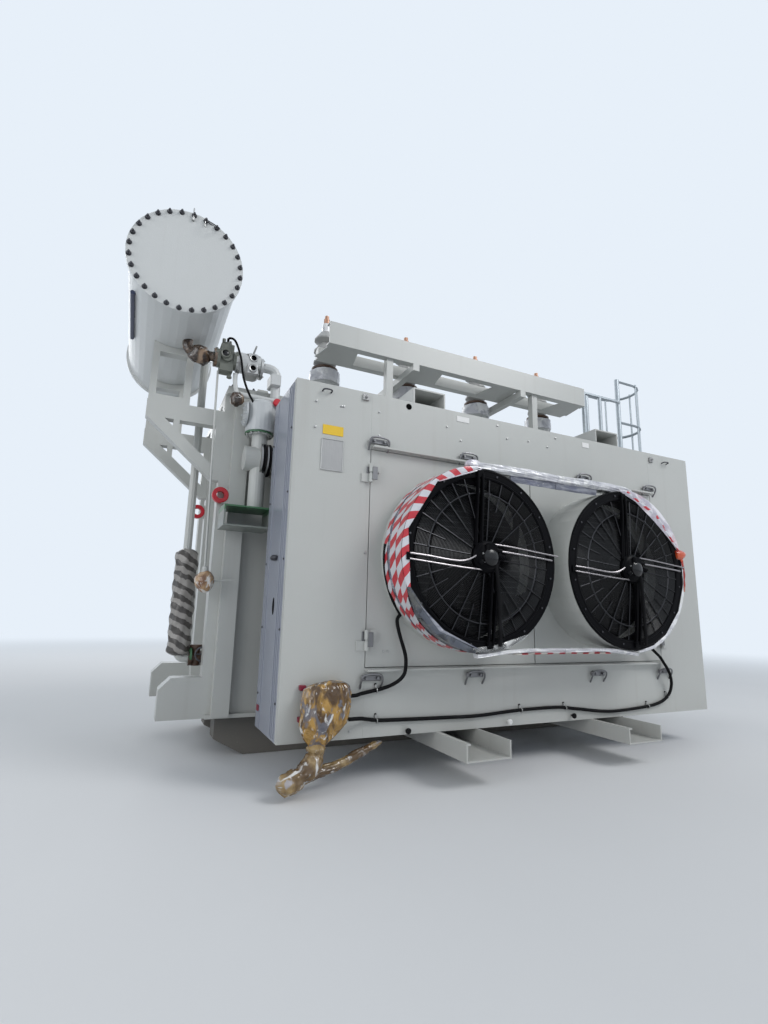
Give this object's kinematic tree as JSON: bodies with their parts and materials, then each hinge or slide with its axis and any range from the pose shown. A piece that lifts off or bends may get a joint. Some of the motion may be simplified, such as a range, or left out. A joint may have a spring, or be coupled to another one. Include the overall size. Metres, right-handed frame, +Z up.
{
  "type": "power transformer",
  "caption": "Oil-filled power transformer with a fan cooler on one long side, hinged fan doors, an oil conservator, bushings, a gantry and a caged ladder.",
  "frame": {"origin": "on the ground under the middle of the tank, on the middle skid's underside", "axes": "+Z up, +X along the tank, to the right as seen from the fans, and the fans face -Y"},
  "size_m": [5.472, 2.457, 3.631],
  "materials": {
    "grey_paint": "satin light grey paint",
    "base_paint": "matt dark grey paint",
    "dark_core": "dark finned block",
    "black_fan": "satin black coating",
    "black_cable": "matt black sheath",
    "packing_tape": "red and white barrier tape",
    "packing_film": "wrinkled straw-coloured film",
    "relay_paint": "satin grey-green enamel",
    "cast_white": "painted casting",
    "brown_film": "brown wrapping film",
    "porcelain": "glazed pale grey",
    "galvanised": "galvanised steel",
    "green_paint": "worn green paint"
  },
  "bodies": {
    "root": {"base_frame": "base_paint", "tank": "grey_paint", "tank_cover": "grey_paint", "cooler_casing": "grey_paint", "cooler_core": "dark_core", "cooler_top_band": "grey_paint", "cooler_bottom_band": "grey_paint", "cooler_left_panel": "grey_paint", "cooler_right_panel": "grey_paint", "lower_arm_left": "grey_paint", "lower_arm_right": "grey_paint", "upper_arm_left": "grey_paint", "upper_arm_right": "grey_paint", "terminal_box": "packing_film", "wrapped_tail": "packing_film", "left_fan_cable": "black_cable", "right_fan_cable": "black_cable", "conservator_shell": "grey_paint", "conservator_front_cover": "grey_paint", "conservator_rear_cover": "grey_paint", "conservator_bracket_front": "grey_paint", "conservator_bracket_rear": "grey_paint", "conservator_outlet": "brown_film", "gas_relay": "relay_paint", "relay_pipe": "cast_white", "breather": "brown_film", "filler_pipe": "grey_paint", "drain_valve": "relay_paint", "inlet_valve": "cast_white", "inlet_elbow": "grey_paint", "inlet_bellows": "galvanised", "inlet_pipe": "grey_paint", "return_pipe": "grey_paint", "side_bracket": "green_paint", "bushing_1": "porcelain", "bushing_2": "porcelain", "bushing_3": "porcelain", "bushing_4": "porcelain", "gantry_front_beam": "grey_paint", "gantry_rear_beam": "grey_paint", "gantry_cross_left": "grey_paint", "gantry_cross_right": "grey_paint", "ladder": "galvanised", "ladder_cage": "galvanised", "handrail": "galvanised"},
    "left_door": {"left_door": "grey_paint", "left_shroud": "grey_paint", "left_guard": "black_fan", "left_motor": "black_fan", "left_cable_lead": "black_cable", "left_packing_tape": "packing_tape"},
    "left_fan": {"left_rotor": "black_fan"},
    "right_door": {"right_door": "grey_paint", "right_shroud": "grey_paint", "right_guard": "black_fan", "right_motor": "black_fan", "right_cable_lead": "black_cable", "right_packing_tape": "packing_tape"},
    "right_fan": {"right_rotor": "black_fan"}
  },
  "joints": [
    {"name": "left_door_hinge", "type": "hinge", "parent": "root", "child": "left_door", "pos_m": [-1.28, -1.47, 1.305], "axis": [0, 0, -1], "range_deg": [0, 90]},
    {"name": "right_door_hinge", "type": "hinge", "parent": "root", "child": "right_door", "pos_m": [1.28, -1.47, 1.305], "axis": [0, 0, 1], "range_deg": [0, 90]},
    {"name": "left_fan_spin", "type": "hinge", "parent": "left_door", "child": "left_fan", "pos_m": [-0.627, -1.45, 1.305], "axis": [0, -1, 0], "continuous": true},
    {"name": "right_fan_spin", "type": "hinge", "parent": "right_door", "child": "right_fan", "pos_m": [0.627, -1.45, 1.305], "axis": [0, -1, 0], "continuous": true}
  ]
}
